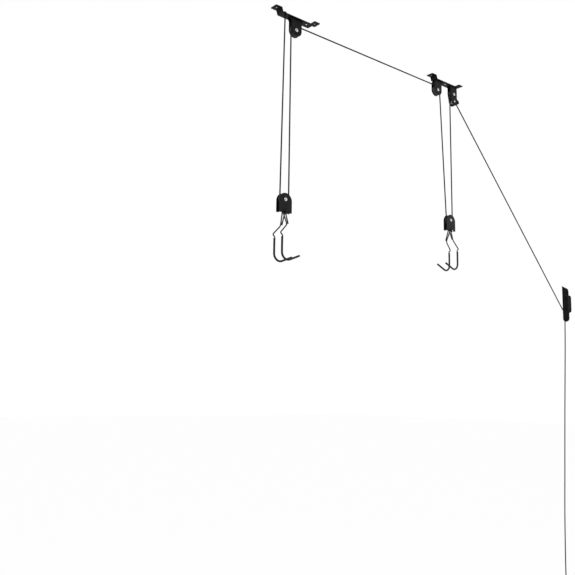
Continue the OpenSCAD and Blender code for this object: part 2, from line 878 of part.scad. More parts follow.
// The coil as one unbroken tube, with its least gap to itself measured between rings of different turns.
module rope_coil() {
    loops = [for (i = [0 : coil_loops * coil_rings]) coil_point(i / coil_rings)];
    last = loops[len(loops) - 1];
    path = concat([loops[0] + [0, 0, rope_d]], loops, [last - [0, 0, rope_d]]);
    far = coil_rings / 2;
    gap = min([for (i = [0 : len(path) - 1 - far], j = [i + far : len(path) - 1]) norm(path[i] - path[j])]);
    echo(coil_gap_to_itself = gap - rope_d);
    color(rope_black)
        tube(path, rope_r, coil_sides, [1, 0, 0]);
}

// Band round the bottom of the coil.
module coil_tie() {
    across_x = coil_pitch * (coil_layers - 1) + rope_d + 2 * tie_gap;
    hole = coil_inner_r - rope_r;
    inner = sqrt(hole * hole - tie_w * tie_w / 4) - tie_gap;
    outer = coil_outer_r + rope_r + tie_gap;
    mid = coil_centre[0] + coil_pitch * (coil_layers - 1) / 2;
    color(vinyl_black)
        translate([mid, coil_centre[1], coil_centre[2] - (inner + outer) / 2])
            difference() {
                cube([across_x + 2 * tie_t, tie_w, outer - inner + 2 * tie_t], center = true);
                cube([across_x, tie_w + 2 * overrun, outer - inner], center = true);
            }
}

// Falls between brackets and blocks
module fall_a_tied() {
    color(rope_black)
        fall(tied_ends);
}

module fall_a_free() {
    color(rope_black)
        fall(free_ends);
}

module fall_b_left() {
    color(rope_black)
        fall(left_ends);
}

module fall_b_right() {
    color(rope_black)
        fall(right_ends);
}

// Hook block A, with its hooks' tips toward bracket B
module block_a_near_cheek() {
    color(steel_black)
        block_cheek(block_a, -1);
}

module block_a_far_cheek() {
    color(steel_black)
        block_cheek(block_a, 1);
}

module block_a_axle() {
    color(zinc)
        axle(block_a);
}

module block_a_hook_pin() {
    color(zinc)
        cheek_pin(block_a + [0, hook_pin_z], hook_pin_r);
}

module block_a_sheave() {
    color(nylon_black)
        sheave(block_a);
}

module block_a_rope() {
    color(rope_black)
        rope_arc(block_a, wrap_r, 180 + tied_turn, 360 + free_turn);
}

module hook_a_near_wire() {
    color(steel_black)
        hook_wire(block_a, 1, -1);
}

module hook_a_near_sleeve() {
    color(vinyl_black)
        hook_sleeve(block_a, 1, -1);
}

module hook_a_far_wire() {
    color(steel_black)
        hook_wire(block_a, 1, 1);
}

module hook_a_far_sleeve() {
    color(vinyl_black)
        hook_sleeve(block_a, 1, 1);
}

// Hook block B, with its hooks' tips toward bracket A
module block_b_near_cheek() {
    color(steel_black)
        block_cheek(block_b, -1);
}

module block_b_far_cheek() {
    color(steel_black)
        block_cheek(block_b, 1);
}

module block_b_axle() {
    color(zinc)
        axle(block_b);
}

module block_b_hook_pin() {
    color(zinc)
        cheek_pin(block_b + [0, hook_pin_z], hook_pin_r);
}

module block_b_sheave() {
    color(nylon_black)
        sheave(block_b);
}

module block_b_rope() {
    color(rope_black)
        rope_arc(block_b, wrap_r, 180 + left_turn, 360 + right_turn);
}

module hook_b_near_wire() {
    color(steel_black)
        hook_wire(block_b, -1, -1);
}

module hook_b_near_sleeve() {
    color(vinyl_black)
        hook_sleeve(block_b, -1, -1);
}

module hook_b_far_wire() {
    color(steel_black)
        hook_wire(block_b, -1, 1);
}

module hook_b_far_sleeve() {
    color(vinyl_black)
        hook_sleeve(block_b, -1, 1);
}

// Wall cleat: a flat horn bar on two legs, with a slim flange on the wall.
module wall_cleat() {
    half_l = horn_l / 2;
    half_w = horn_w / 2;
    foot_l = leg_pitch / 2 + flange_end;
    color(steel_black)
        translate([wall_x, 0, -cleat_drop])
            difference() {
                union() {
                    translate([horn_front - wall_x, 0, 0])
                        rotate([90, 0, 90])
                            linear_extrude(horn_t)
                                polygon(concat(
                                    arc([0, half_w - half_l], half_w, 180, 360, lobe_steps),
                                    [[half_w, half_l * (1 - 2 * horn_shoulder_share)]],
                                    [[half_w * (1 + horn_tip_share), half_l]],
                                    [[-half_w * (1 - horn_corner_share), half_l * (1 - horn_slope_share)]],
                                    [[-half_w, half_l * (1 - horn_slope_share - horn_corner_share)]]
                                ));
                    translate([-flange_t, 0, 0])
                        rotate([90, 0, 90])
                            linear_extrude(flange_t)
                                polygon(concat(
                                    arc([0, flange_w / 2 - foot_l], flange_w / 2, 180, 360, lobe_steps),
                                    arc([0, foot_l - flange_w / 2], flange_w / 2, 0, 180, lobe_steps)
                                ));
                    for (s = [-1, 1])
                        translate([horn_front - wall_x + horn_t / 2, 0, s * leg_pitch / 2])
                            rotate([0, 90, 0])
                                cylinder(h = horn_gap + (horn_t + flange_t) / 2, r = leg_r);
                }
                for (s = [-1, 1])
                    translate([horn_front - wall_x, 0, s * leg_pitch / 2])
                        rotate([0, 90, 0]) {
                            translate([0, 0, -overrun])
                                cylinder(h = horn_t + horn_gap + flange_t + 2 * overrun, d = cleat_hole_d);
                            cylinder(h = countersink_h, d1 = countersink_d, d2 = cleat_hole_d);
                        }
            }
}

bracket_a_strip();
bracket_a_housing();
bracket_a_rivets();
bracket_a_axle();
bracket_a_sheave();
bracket_b_strip();
bracket_b_left_housing();
bracket_b_lock_housing();
bracket_b_rivets();
bracket_b_left_axle();
bracket_b_right_axle();
bracket_b_left_sheave();
bracket_b_right_sheave();
lock_roller();
lock_guide_pin();
rope_end_knot();
rope_run();
rope_lead();
rope_cleat_turn();
rope_tail();
rope_coil();
coil_tie();
fall_a_tied();
fall_a_free();
fall_b_left();
fall_b_right();
block_a_near_cheek();
block_a_far_cheek();
block_a_axle();
block_a_hook_pin();
block_a_sheave();
block_a_rope();
hook_a_near_wire();
hook_a_near_sleeve();
hook_a_far_wire();
hook_a_far_sleeve();
block_b_near_cheek();
block_b_far_cheek();
block_b_axle();
block_b_hook_pin();
block_b_sheave();
block_b_rope();
hook_b_near_wire();
hook_b_near_sleeve();
hook_b_far_wire();
hook_b_far_sleeve();
wall_cleat();
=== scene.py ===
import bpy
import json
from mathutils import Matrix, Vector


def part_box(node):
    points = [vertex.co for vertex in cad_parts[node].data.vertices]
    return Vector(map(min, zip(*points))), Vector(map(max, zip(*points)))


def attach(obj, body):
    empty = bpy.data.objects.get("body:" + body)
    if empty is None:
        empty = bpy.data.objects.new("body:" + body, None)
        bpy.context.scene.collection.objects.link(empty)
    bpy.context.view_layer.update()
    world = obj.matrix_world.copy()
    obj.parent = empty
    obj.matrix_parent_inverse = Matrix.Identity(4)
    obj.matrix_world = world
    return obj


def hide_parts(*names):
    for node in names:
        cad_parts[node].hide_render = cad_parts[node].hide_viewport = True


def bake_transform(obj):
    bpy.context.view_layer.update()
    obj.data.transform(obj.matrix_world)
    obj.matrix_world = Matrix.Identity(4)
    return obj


bl_info = {
    "name": "Ceiling Bike Mount",
    "version": (1, 0, 0),
    "blender": (4, 5, 0),
    "location": "View3D > Sidebar > Bike Mount",
    "description": "Dresses the ceiling bike mount: braided rope, sleeved hooks, pressed steel and sheaves",
    "category": "Object",
}

import json
import math

import bmesh
import bpy
import numpy as np
from bpy.props import FloatProperty, FloatVectorProperty, IntProperty, PointerProperty
from mathutils import Matrix

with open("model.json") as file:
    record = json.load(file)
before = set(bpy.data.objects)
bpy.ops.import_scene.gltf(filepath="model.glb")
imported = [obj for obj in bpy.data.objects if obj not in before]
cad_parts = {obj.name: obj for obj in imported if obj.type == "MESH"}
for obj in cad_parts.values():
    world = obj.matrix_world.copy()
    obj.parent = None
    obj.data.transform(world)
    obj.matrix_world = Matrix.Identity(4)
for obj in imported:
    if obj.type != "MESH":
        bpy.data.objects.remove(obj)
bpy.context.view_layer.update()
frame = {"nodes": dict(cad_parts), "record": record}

MM = 0.001


# Sizes and colours

class RopeSettings(bpy.types.PropertyGroup):
    diameter: FloatProperty(
        name="Diameter", description="Diameter of the braided rope",
        default=0.005, unit="LENGTH")
    seat: FloatProperty(
        name="Seat", description="Depth of the rope's centre below a sheave's rim",
        default=0.0018, unit="LENGTH")
    strands: IntProperty(
        name="Strands", description="Strands of the braid seen round the rope",
        default=8)
    pick: FloatProperty(
        name="Pick", description="Half the length of one braid diamond along the rope",
        default=0.0024, unit="LENGTH")
    tie_x: FloatProperty(
        name="Tied end", description="Place along the ceiling of the hole that the rope is tied in",
        default=-0.048, unit="LENGTH")
    sides: IntProperty(
        name="Sides", description="Sides of the held rope's mesh",
        default=16)
    colour: FloatVectorProperty(
        name="Colour", description="Nearly black yarn of the rope",
        subtype="COLOR", default=(0.015, 0.0155, 0.017))


class HookSettings(bpy.types.PropertyGroup):
    wire: FloatProperty(
        name="Wire", description="Diameter of the hook wire",
        default=0.0045, unit="LENGTH")
    sleeve: FloatProperty(
        name="Sleeve", description="Outer diameter of the vinyl sleeve",
        default=0.007, unit="LENGTH")
    spread: FloatProperty(
        name="Spread", description="Distance of a hook from its block's middle",
        default=0.0205, unit="LENGTH")
    bend: FloatProperty(
        name="Bend", description="Radius of the hook's bend",
        default=0.024, unit="LENGTH")
    tip_angle: FloatProperty(
        name="Tip angle", description="Angle at which the tip climbs",
        default=math.radians(23), subtype="ANGLE")
    wire_colour: FloatVectorProperty(
        name="Wire colour", description="Black coating of the wire",
        subtype="COLOR", default=(0.009, 0.009, 0.0095))
    sleeve_colour: FloatVectorProperty(
        name="Sleeve colour", description="Black vinyl",
        subtype="COLOR", default=(0.005, 0.005, 0.0055))


class SteelSettings(bpy.types.PropertyGroup):
    edge: FloatProperty(
        name="Edge", description="Rounding of the pressed steel's edges",
        default=0.00035, unit="LENGTH")
    paint: FloatVectorProperty(
        name="Paint", description="Satin black paint",
        subtype="COLOR", default=(0.005, 0.005, 0.0053))
    zinc: FloatVectorProperty(
        name="Zinc", description="Zinc plate",
        subtype="COLOR", default=(0.48, 0.49, 0.51))
    shank_radius: FloatProperty(
        name="Axle", description="Radius of an axle's shank",
        default=0.004, unit="LENGTH")
    head_radius: FloatProperty(
        name="Rivet head", description="Radius of an axle's domed head",
        default=0.0064, unit="LENGTH")
    head_height: FloatProperty(
        name="Head height", description="Height of an axle's domed head",
        default=0.0024, unit="LENGTH")


class SheaveSettings(bpy.types.PropertyGroup):
    edge: FloatProperty(
        name="Edge", description="Rounding of the sheave's edges",
        default=0.0003, unit="LENGTH")
    colour: FloatVectorProperty(
        name="Colour", description="Black moulded nylon",
        subtype="COLOR", default=(0.022, 0.022, 0.024))


class StageSettings(bpy.types.PropertyGroup):
    floor_depth: FloatProperty(
        name="Floor", description="Depth of the floor below the ceiling",
        default=2.55, unit="LENGTH")
    key: FloatProperty(
        name="Key", description="Power of the large lamp",
        default=75.0)
    fill: FloatProperty(
        name="Fill", description="Power of the fill lamp",
        default=30.0)
    sky: FloatProperty(
        name="Sky", description="Strength of the soft light from all round",
        default=0.75)


def settings(name):
    return getattr(bpy.context.scene, "bike_mount_" + name)


# Places, read from the solids

def centre(node):
    low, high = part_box(node)
    return (np.array(low, float) + np.array(high, float)) / 2


def joint_at(name):
    for joint in frame["record"]["behaviour"]["joints"]:
        if joint["name"] == name:
            return np.array(joint["pos_m"], float)
    raise ValueError("no joint called " + name)


def flat(point):
    """The x and z of a point."""
    return np.array([point[0], point[2]], float)


def arc(middle, radius, start, stop, steps):
    """Points middle + radius (cos a, sin a) as the angle a runs evenly from start to stop."""
    angles = np.radians(np.linspace(start, stop, steps + 1))
    return np.array(middle) + radius * np.stack([np.cos(angles), np.sin(angles)], axis=1)


def side_angle(a, b, gap):
    """Angle of the unit vector n with (b - a) . n = gap, on the upper or right side of the line."""
    d = b - a
    return math.degrees(math.atan2(d[1], d[0]) + math.acos(gap / np.linalg.norm(d)))


def line_ends(a, sa, b, sb):
    """Ends a + sa n and b + sb n of a straight rope that leaves one circle and meets another."""
    angle = math.radians(side_angle(a, b, sa - sb))
    n = np.array([math.cos(angle), math.sin(angle)])
    return a + sa * n, b + sb * n


def upright(points):
    """Points of the x-z plane, stood at y = 0."""
    return np.stack([points[:, 0], np.zeros(len(points)), points[:, 1]], axis=1)


# Curves and surfaces

LEAST_TURN = 0.2
REACH_LIMIT = 2.2
TIP_RINGS = 5
TIP_ANGLE = math.radians(86)
CAP_TURNS = 0.2
CAP_METRES = 0.001
SAME_POINT = 1e-6
SOLID_POINT = 2e-6
FLAT_ANGLE = math.radians(0.5)
SHARP_ANGLE = math.radians(32)


def unit(v):
    return v / np.maximum(np.linalg.norm(v, axis=-1, keepdims=True), 1e-12)


def eased(points, reach, steps):
    """Each corner p that turns by more than the least turn becomes a quadratic curve.

    The curve is (1-t)^2 a + 2t(1-t) p + t^2 b, between points a and b at the given reach from p.
    """
    p = np.array(points, float)
    out = [p[:1]]
    t = np.linspace(0, 1, steps + 1)[:, None]
    for i in range(1, len(p) - 1):
        back, on = p[i - 1] - p[i], p[i + 1] - p[i]
        lb, lo = np.linalg.norm(back), np.linalg.norm(on)
        turn = math.acos(np.clip(-(back @ on) / (lb * lo), -1, 1))
        if turn < LEAST_TURN:
            out.append(p[i:i + 1])
            continue
        a = p[i] + back / lb * min(reach, lb / REACH_LIMIT)
        b = p[i] + on / lo * min(reach, lo / REACH_LIMIT)
        out.append((1 - t) ** 2 * a + 2 * t * (1 - t) * p[i] + t * t * b)
    out.append(p[-1:])
    return np.concatenate(out)


def smooth(points, steps):
    """A cubic through every point. From b to c, between their neighbours a and d, it is
    (2b + (c-a) t + (2a-5b+4c-d) t^2 + (3b-a-3c+d) t^3) / 2."""
    p = np.array(points, float)
    n = len(p)
    i = np.arange(n - 1)
    t = (np.arange(steps) / steps)[None, :, None]
    around = (p[np.maximum(i - 1, 0)], p[i], p[i + 1], p[np.minimum(i + 2, n - 1)])
    a, b, c, d = (v[:, None, :] for v in around)
    curve = (2 * b + (c - a) * t + (2 * a - 5 * b + 4 * c - d) * t ** 2
             + (3 * b - a - 3 * c + d) * t ** 3) / 2
    return np.concatenate([curve.reshape(-1, 3), p[-1:]])


def path_frames(path):
    """Two vectors across a path at each of its points, carried along it without twist."""
    step = unit(np.diff(path, axis=0))
    tangent = unit(np.concatenate([step[:1], step[:-1] + step[1:], step[-1:]]))
    across = np.empty_like(path)
    v = np.array([0.0, 1.0, 0.0])
    for i, t in enumerate(tangent):
        v = v - t * (v @ t)
        v = v / np.linalg.norm(v)
        across[i] = v
    return across, np.cross(tangent, across)


def put_mesh(name, points, faces, uv=None):
    mesh = bpy.data.meshes.new(name)
    mesh.from_pydata(np.asarray(points, float).tolist(), [], faces)
    if uv is not None:
        layer = mesh.uv_layers.new(name="UVMap")
        layer.data.foreach_set("uv", np.asarray(uv, np.float32).ravel())
    mesh.polygons.foreach_set("use_smooth", [True] * len(mesh.polygons))
    mesh.update()
    piece = bpy.data.objects.new(name, mesh)
    bpy.context.scene.collection.objects.link(piece)
    return piece


def cells(rows, columns):
    """The row and column number of every cell of a grid."""
    i, k = np.meshgrid(np.arange(rows), np.arange(columns), indexing="ij")
    return i.ravel(), k.ravel()


def sweep(name, path, radius, sides, round_tip=False):
    """A tube: point (i, k) = path_i + r_i (cos a_k u_i + sin a_k w_i), with a_k = 2 pi k / sides.

    Its UV map runs round the tube in turns and along it in metres. A round tip adds rings whose
    radius falls as the cosine of an angle while they move on by its sine.
    """
    path = np.array(path, float)
    r = np.full(len(path), radius, float) if np.isscalar(radius) else np.array(radius, float)
    if round_tip:
        lift = np.linspace(0, TIP_ANGLE, TIP_RINGS + 1)[1:]
        ahead = unit(path[-1] - path[-2])
        path = np.concatenate([path, path[-1] + r[-1] * np.sin(lift)[:, None] * ahead])
        r = np.concatenate([r, r[-1] * np.cos(lift)])
    m = len(path)
    u, w = path_frames(path)
    angle = 2 * math.pi * np.arange(sides) / sides
    cos, sin = np.cos(angle)[None, :, None], np.sin(angle)[None, :, None]
    points = (path[:, None] + r[:, None, None] * (cos * u[:, None] + sin * w[:, None])).reshape(-1, 3)
    i, k = cells(m - 1, sides)
    j = (k + 1) % sides
    quads = np.stack([i * sides + k, i * sides + j, (i + 1) * sides + j, (i + 1) * sides + k], axis=1)
    run = np.concatenate([[0], np.cumsum(np.linalg.norm(np.diff(path, axis=0), axis=1))])
    turns = np.stack([k, k + 1, k + 1, k], axis=1) / sides
    metres = np.stack([run[i], run[i], run[i + 1], run[i + 1]], axis=1)
    uv = np.stack([turns, metres], axis=2).reshape(-1, 2)
    caps = [list(range(sides))[::-1], list(range((m - 1) * sides, m * sides))]
    ring_uv = np.stack([0.5 + CAP_TURNS * np.cos(angle), CAP_METRES * np.sin(angle)], axis=1)
    uv = np.concatenate([uv, ring_uv[::-1], ring_uv + [0, run[-1]]])
    return put_mesh(name, points, quads.tolist() + caps, uv)


def revolve_y(profile, middle, sides):
    """Points (x, y, z) = middle + (r cos a, h, r sin a) for each (r, h) of a closed profile, and the
    quads between them."""
    p = np.array(profile, float)
    angle = 2 * math.pi * np.arange(sides) / sides
    x = p[None, :, 0] * np.cos(angle)[:, None]
    z = p[None, :, 0] * np.sin(angle)[:, None]
    y = np.repeat(p[None, :, 1], sides, axis=0)
    points = np.array(middle) + np.stack([x, y, z], axis=2).reshape(-1, 3)
    n = len(p)
    i, k = cells(sides, n)
    j, l = (i + 1) % sides, (k + 1) % n
    return points, np.stack([i * n + k, i * n + l, j * n + l, j * n + k], axis=1)


def outward(piece):
    """Merges doubled points and turns every face outward."""
    bm = bmesh.new()
    bm.from_mesh(piece.data)
    bmesh.ops.remove_doubles(bm, verts=bm.verts, dist=SAME_POINT)
    bmesh.ops.recalc_face_normals(bm, faces=bm.faces)
    bm.to_mesh(piece.data)
    bm.free()
    return piece


def soft_edges(node, edge, surface):
    """A copy of a solid with its flat triangles merged and its sharp edges rounded."""
    mesh = frame["nodes"][node].data.copy()
    bm = bmesh.new()
    bm.from_mesh(mesh)
    bmesh.ops.remove_doubles(bm, verts=bm.verts, dist=SOLID_POINT)
    bmesh.ops.dissolve_limit(bm, angle_limit=FLAT_ANGLE, verts=bm.verts, edges=bm.edges)
    bm.to_mesh(mesh)
    bm.free()
    mesh.materials.clear()
    mesh.materials.append(surface)
    mesh.polygons.foreach_set("material_index", [0] * len(mesh.polygons))
    mesh.polygons.foreach_set("use_smooth", [True] * len(mesh.polygons))
    mesh.set_sharp_from_angle(angle=SHARP_ANGLE)
    piece = bpy.data.objects.new(node + "_finished", mesh)
    bpy.context.scene.collection.objects.link(piece)
    bevel = piece.modifiers.new("Edges", "BEVEL")
    bevel.width = edge
    bevel.segments = 2
    bevel.limit_method = "ANGLE"
    bevel.angle_limit = SHARP_ANGLE
    bevel.use_clamp_overlap = True
    bevel.harden_normals = True
    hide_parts(node)
    return piece


def carry(piece, body, surface=None):
    if surface is not None:
        piece.data.materials.clear()
        piece.data.materials.append(surface)
    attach(piece, body)
    return piece


# Materials

class Value:
    """A node socket that takes part in Python sums. An expression adds its Math nodes."""

    def __init__(self, tree, socket):
        self.tree, self.socket = tree, socket

    def _math(self, kind, *others, swap=False):
        node = self.tree.nodes.new("ShaderNodeMath")
        node.operation = kind
        parts = [self, *others]
        if swap:
            parts = parts[::-1]
        for slot, part in zip(node.inputs, parts):
            if isinstance(part, Value):
                self.tree.links.new(part.socket, slot)
            else:
                slot.default_value = float(part)
        return Value(self.tree, node.outputs[0])

    def __add__(self, other):
        return self._math("ADD", other)

    def __sub__(self, other):
        return self._math("SUBTRACT", other)

    def __rsub__(self, other):
        return self._math("SUBTRACT", other, swap=True)

    def __mul__(self, other):
        return self._math("MULTIPLY", other)

    def __truediv__(self, other):
        return self._math("DIVIDE", other)

    def __abs__(self):
        return self._math("ABSOLUTE")

    __radd__ = __add__

    def fract(self):
        return self._math("FRACT")

    def floor(self):
        return self._math("FLOOR")

    def modulo(self, other):
        return self._math("FLOORED_MODULO", other)

    def power(self, other):
        return self._math("POWER", other)

    def above(self, other):
        return self._math("GREATER_THAN", other)

    def clamped(self):
        value = self._math("ADD", 0.0)
        value.socket.node.use_clamp = True
        return value


class Finish:
    """A material with its Principled shader, and one method that adds any other node."""

    def __init__(self, name):
        self.material = bpy.data.materials.new(name)
        self.material.use_nodes = True
        self.tree = self.material.node_tree
        self.shader = self.tree.nodes["Principled BSDF"]

    def node(self, kind, options=None, output=0, **inputs):
        node = self.tree.nodes.new(kind)
        for key, value in (options or {}).items():
            setattr(node, key, value)
        for key, value in inputs.items():
            self.feed(node.inputs[key.replace("_", " ")], value)
        return Value(self.tree, node.outputs[output])

    def feed(self, socket, value):
        if isinstance(value, Value):
            self.tree.links.new(value.socket, socket)
        else:
            socket.default_value = value

    def ramp(self, value, base, stops):
        """The base colour times a factor that follows the value between the stops {value: factor}."""
        node = self.tree.nodes.new("ShaderNodeValToRGB")
        elements = node.color_ramp.elements
        while len(elements) < len(stops):
            elements.new(0.5)
        for element, (place, factor) in zip(elements, stops.items()):
            element.position = place
            element.color = (*(min(1.0, c * factor) for c in base), 1.0)
        self.tree.links.new(value.socket, node.inputs["Fac"])
        return Value(self.tree, node.outputs["Color"])

    def noise(self, scale, detail=3.0, rough=0.5):
        where = self.node("ShaderNodeTexCoord", output="Object")
        return self.node("ShaderNodeTexNoise", Vector=where, Scale=scale, Detail=detail, Roughness=rough)

    def bump(self, height, strength, distance, under=None):
        inputs = {"Height": height, "Strength": strength, "Distance": distance}
        if under is not None:
            inputs["Normal"] = under
        return self.node("ShaderNodeBump", **inputs)

    def set(self, **inputs):
        for key, value in inputs.items():
            self.feed(self.shader.inputs[key.replace("_", " ")], value)


def satin_paint():
    """Satin black paint on pressed steel: orange peel, small specks of dust and uneven sheen."""
    f = Finish("Satin black paint")
    broad = f.noise(scale=38.0)
    fine = f.noise(scale=1500.0, detail=2.0)
    dust = f.noise(scale=420.0, detail=4.0, rough=0.7)
    peel = f.bump(broad, strength=0.15, distance=0.0008)
    mottle = broad * 0.55 + dust * 0.45
    f.set(Base_Color=f.ramp(mottle, settings("steel").paint, {0.35: 0.55, 0.52: 1.0, 0.68: 2.6}),
          Roughness=0.22 + broad * 0.22 + dust * 0.12,
          Specular_IOR_Level=0.1,
          Normal=f.bump(fine, strength=0.30, distance=0.0002, under=peel))
    return f.material


def zinc_plate():
    """Zinc plate: a fine grain, small cloudy patches and a soft sheen."""
    f = Finish("Bright zinc plate")
    cloud = f.noise(scale=260.0, detail=4.0, rough=0.6)
    grain = f.noise(scale=1600.0)
    f.set(Base_Color=f.ramp(cloud, settings("steel").zinc, {0.3: 0.82, 0.5: 1.0, 0.72: 1.12}),
          Roughness=0.26 + cloud * 0.20,
          Metallic=1.0,
          Normal=f.bump(grain, strength=0.12, distance=0.0001))
    return f.material


def moulded_nylon():
    """Black nylon: an even eggshell surface with a slight grain."""
    f = Finish("Black moulded nylon")
    grain = f.noise(scale=900.0)
    patch = f.noise(scale=90.0, detail=2.0)
    f.set(Base_Color=f.ramp(patch, settings("sheave").colour, {0.3: 0.85, 0.7: 1.25}),
          Roughness=0.42 + grain * 0.12,
          Normal=f.bump(grain, strength=0.10, distance=0.0001))
    return f.material


def braided_rope():
    """Braid: strands in two directions cross in diamonds; painted shade darkens the grooves between strands
    and painted highlights lighten their crowns.

    With p = n u + v / (2 pick) and q = n u - v / (2 pick), the strand on top changes from one
    diamond to the next, and each strand is round across its width and has fine yarns along it.
    """
    s = settings("rope")
    f = Finish("Braided polyester rope")
    uv = f.node("ShaderNodeUVMap", {"uv_map": "UVMap"})
    split = f.tree.nodes.new("ShaderNodeSeparateXYZ")
    f.tree.links.new(uv.socket, split.inputs[0])
    around, along = Value(f.tree, split.outputs[0]), Value(f.tree, split.outputs[1])
    p = around * (s.strands / 2) + along / (2 * s.pick)
    q = around * (s.strands / 2) - along / (2 * s.pick)
    over = (p.floor() + q.floor()).modulo(2.0).above(0.5)
    crown = 2.4
    yarns = 6.0
    round_p = 1.0 - abs(p.fract() * 2.0 - 1.0).power(crown)
    round_q = 1.0 - abs(q.fract() * 2.0 - 1.0).power(crown)
    ridge = round_p * over + round_q * (1.0 - over)
    yarn = abs(((p * yarns) * over + (q * yarns) * (1.0 - over)).fract() * 2.0 - 1.0)
    fuzz = f.noise(scale=2400.0)
    height = ridge * 0.8 + yarn * 0.12 + fuzz * 0.08
    # The base colour follows the height: painted shade in the grooves between strands and yarns, painted
    # highlight on the strands' crowns.
    f.set(Base_Color=f.ramp(height, s.colour, {0.10: 0.45, 0.55: 1.0, 0.95: 1.9}),
          Roughness=0.72 + fuzz * 0.14,
          Specular_IOR_Level=0.2,
          Normal=f.bump(height, strength=0.75, distance=0.0005))
    return f.material


def coated_wire():
    """Black coated wire: smooth, with faint drawing marks and a dull sheen."""
    f = Finish("Coated hook wire")
    broad = f.noise(scale=70.0)
    fine = f.noise(scale=1300.0, detail=2.0)
    f.set(Base_Color=f.ramp(broad, settings("hook").wire_colour, {0.3: 0.75, 0.5: 1.0, 0.75: 1.6}),
          Roughness=0.36 + broad * 0.14,
          Specular_IOR_Level=0.25,
          Normal=f.bump(fine, strength=0.12, distance=0.0001))
    return f.material


def dipped_vinyl():
    """Dipped vinyl: deep black, soft highlights and slow waves left by the dipping."""
    f = Finish("Dipped vinyl")
    wave = f.noise(scale=55.0, detail=2.0)
    fine = f.noise(scale=700.0)
    dip = f.bump(wave, strength=0.20, distance=0.0008)
    f.set(Base_Color=f.ramp(wave, settings("hook").sleeve_colour, {0.3: 0.7, 0.7: 1.9}),
          Roughness=0.24 + wave * 0.14 + fine * 0.10,
          Specular_IOR_Level=0.2,
          Normal=f.bump(fine, strength=0.06, distance=0.0002, under=dip))
    return f.material


def rubber_band():
    """Black rubber with a fine matt grain."""
    f = Finish("Rubber band")
    grain = f.noise(scale=800.0, detail=4.0)
    f.set(Base_Color=f.ramp(grain, (0.010, 0.010, 0.010), {0.3: 1.0, 0.7: 2.8}),
          Roughness=0.62 + grain * 0.2,
          Normal=f.bump(grain, strength=0.2, distance=0.0002))
    return f.material


FINISHES = {
    "paint": satin_paint, "zinc": zinc_plate, "nylon": moulded_nylon, "rope": braided_rope,
    "wire": coated_wire, "vinyl": dipped_vinyl, "rubber": rubber_band,
}
made = {}


def finish(name):
    if name not in made:
        made[name] = FINISHES[name]()
    return made[name]


# Camera and stage

EYE = (-1.518, -1.8391, -1.2939)
YAW = math.radians(39.21)
PITCH = math.radians(8.11)
ROLL = math.radians(0.95)
SENSOR_WIDTH = 36.0
FOCAL_PIXELS = 731.94
PICTURE_PIXELS = 575.0
VIEW_REACH = 60.0

WHITE = (1.0, 1.0, 1.0, 1.0)
FLOOR_COLOUR = (0.86, 0.86, 0.86, 1.0)
FLOOR_REACH = 30.0
FLOOR_GLOW = 0.96
LIT_POINT = (0.5, 0.0, -0.5)
KEY_PLACE = (-2.2, -2.6, 1.4)
KEY_SIZE = 2.2
FILL_PLACE = (3.2, -2.4, -0.4)
FILL_SIZE = 2.6


class BIKEMOUNT_OT_camera(bpy.types.Operator):
    """Sets the camera at the photograph's viewing angle, and the view transform"""
    bl_idname = "bike_mount.camera"
    bl_label = "Camera"

    def execute(self, context):
        level_ahead = np.array([math.sin(YAW), math.cos(YAW), 0.0])
        ahead = level_ahead * math.cos(PITCH) + np.array([0.0, 0.0, math.sin(PITCH)])
        level = np.array([math.cos(YAW), -math.sin(YAW), 0.0])
        above = np.cross(level, ahead)
        right = level * math.cos(ROLL) + above * math.sin(ROLL)
        up = above * math.cos(ROLL) - level * math.sin(ROLL)
        data = bpy.data.cameras.new("Camera")
        data.sensor_width = SENSOR_WIDTH
        data.lens = SENSOR_WIDTH * FOCAL_PIXELS / PICTURE_PIXELS
        data.clip_end = VIEW_REACH
        camera = bpy.data.objects.new("Camera", data)
        turn = Matrix((right, up, -ahead)).transposed()
        camera.matrix_world = Matrix.Translation(EYE) @ turn.to_4x4()
        context.scene.collection.objects.link(camera)
        context.scene.camera = camera
        context.scene.view_settings.view_transform = "Standard"
        return {"FINISHED"}


